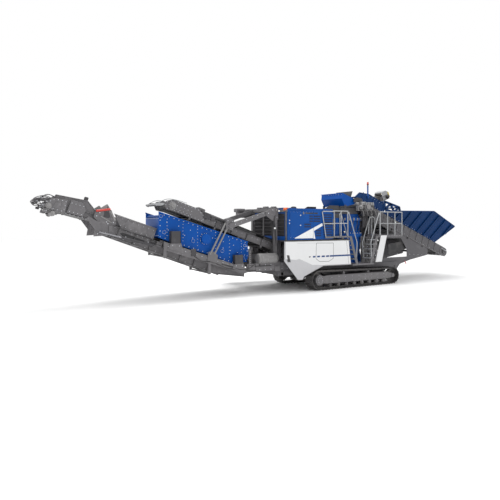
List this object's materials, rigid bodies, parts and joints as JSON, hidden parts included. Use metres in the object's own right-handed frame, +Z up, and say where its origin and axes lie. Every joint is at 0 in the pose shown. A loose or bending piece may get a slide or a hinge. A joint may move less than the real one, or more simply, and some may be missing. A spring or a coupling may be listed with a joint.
{
  "type": "mobile cone crusher",
  "caption": "Tracked mobile cone crusher with feed hopper and belt, hooded power pack, discharge belt, screen box, folding fines conveyor and swivelling return conveyor.",
  "frame": {"origin": "on the ground, midway between the tracks and midway along the side beams", "axes": "+X towards the feed hopper, +Z up, -Y is the side with the stairs and platforms"},
  "size_m": [19.9227, 4.2143, 4.74],
  "materials": {
    "blue_paint": "gloss",
    "navy_paint": "satin",
    "grey_steel": "satin",
    "dark_steel": "matte",
    "white_cover": "satin",
    "light_rail": "satin",
    "track_steel": "worn",
    "belt_rubber": "matte",
    "rod_chrome": "polished",
    "red_lamp": "gloss",
    "engine_dark": "matte"
  },
  "bodies": {
    "chassis": {"track_right": "track_steel", "track_left": "track_steel", "sprockets": "track_steel", "idler_wheels": "track_steel", "track_frames": "dark_steel", "chassis_frame": "grey_steel", "cross_members": "grey_steel", "power_deck": "dark_steel", "carrying_rollers": "dark_steel", "side_covers": "white_cover", "engine_housing": "blue_paint", "engine_block": "engine_dark", "radiator": "dark_steel", "crusher_base": "blue_paint", "crusher_bowl": "blue_paint", "crusher_deck": "grey_steel", "feed_frame": "grey_steel", "conveyor_drums": "dark_steel", "feed_belt": "belt_rubber", "feed_hood": "navy_paint", "hopper_right_wall": "navy_paint", "hopper_left_wall": "navy_paint", "stairs_and_platforms": "grey_steel", "stair_panel": "white_cover", "handrails": "light_rail", "discharge_frame": "grey_steel", "discharge_belt": "belt_rubber", "support_arms": "grey_steel", "screen_frame": "grey_steel", "screen_box": "blue_paint", "screen_decks": "dark_steel", "screen_springs": "track_steel", "screen_exciter": "blue_paint", "cross_conveyor": "grey_steel", "cross_belt": "belt_rubber", "fines_frame": "grey_steel", "fines_belt": "belt_rubber", "beacon": "red_lamp"},
    "crusher_rotor": {"crusher_mantle": "track_steel"},
    "fines_head": {"fines_head_frame": "grey_steel", "fines_head_belt": "belt_rubber"},
    "fold_cylinders": {"fold_barrels": "dark_steel"},
    "fold_rod_pair": {"fold_rods": "rod_chrome"},
    "return_conveyor": {"return_frame": "grey_steel", "return_belt": "belt_rubber"},
    "hopper_rear": {"hopper_rear_wall": "navy_paint"},
    "door": {"engine_door": "blue_paint"},
    "guard": {"splash_guard": "blue_paint"}
  },
  "joints": [
    {"name": "mantle_spin", "type": "hinge", "parent": "chassis", "child": "crusher_rotor", "pos_m": [0.45, 0, 2.2], "axis": [0, 0, 1], "continuous": true},
    {"name": "fines_head_fold", "type": "hinge", "parent": "chassis", "child": "fines_head", "pos_m": [-10.9, 0, 2.8], "axis": [0, 1, 0], "range_deg": [0, 90]},
    {"name": "fold_barrel_swing", "type": "hinge", "parent": "chassis", "child": "fold_cylinders", "pos_m": [-9.05, 0, 2.01], "axis": [0, 1, 0], "range_deg": [0, 5.44]},
    {"name": "fold_rod_slide", "type": "slide", "parent": "fold_cylinders", "child": "fold_rod_pair", "axis": [-0.9667, 0, 0.256], "range_m": [0, 0.3788]},
    {"name": "return_swivel", "type": "hinge", "parent": "chassis", "child": "return_conveyor", "pos_m": [-4.6, 2.3, 0.7], "axis": [0, 0, 1], "range_deg": [0, 100]},
    {"name": "hopper_rear_fold", "type": "hinge", "parent": "chassis", "child": "hopper_rear", "pos_m": [6.0545, 0, 1.8554], "axis": [0, -1, 0], "range_deg": [0, 38]},
    {"name": "engine_door_hinge", "type": "hinge", "parent": "chassis", "child": "door", "pos_m": [-3.684, -1.414, 2.745], "axis": [0, 0, -1], "range_deg": [0, 110]},
    {"name": "splash_guard_fold", "type": "hinge", "parent": "chassis", "child": "guard", "pos_m": [-0.13, 0, 3.605], "axis": [0, -1, 0], "range_deg": [0, 70]}
  ],
  "couplings": [
    {"joint": "fold_barrel_swing", "follows": "fines_head_fold", "ratio": 0.05934},
    {"joint": "fold_rod_slide", "follows": "fines_head_fold", "m_per_rad": 0.23985}
  ]
}
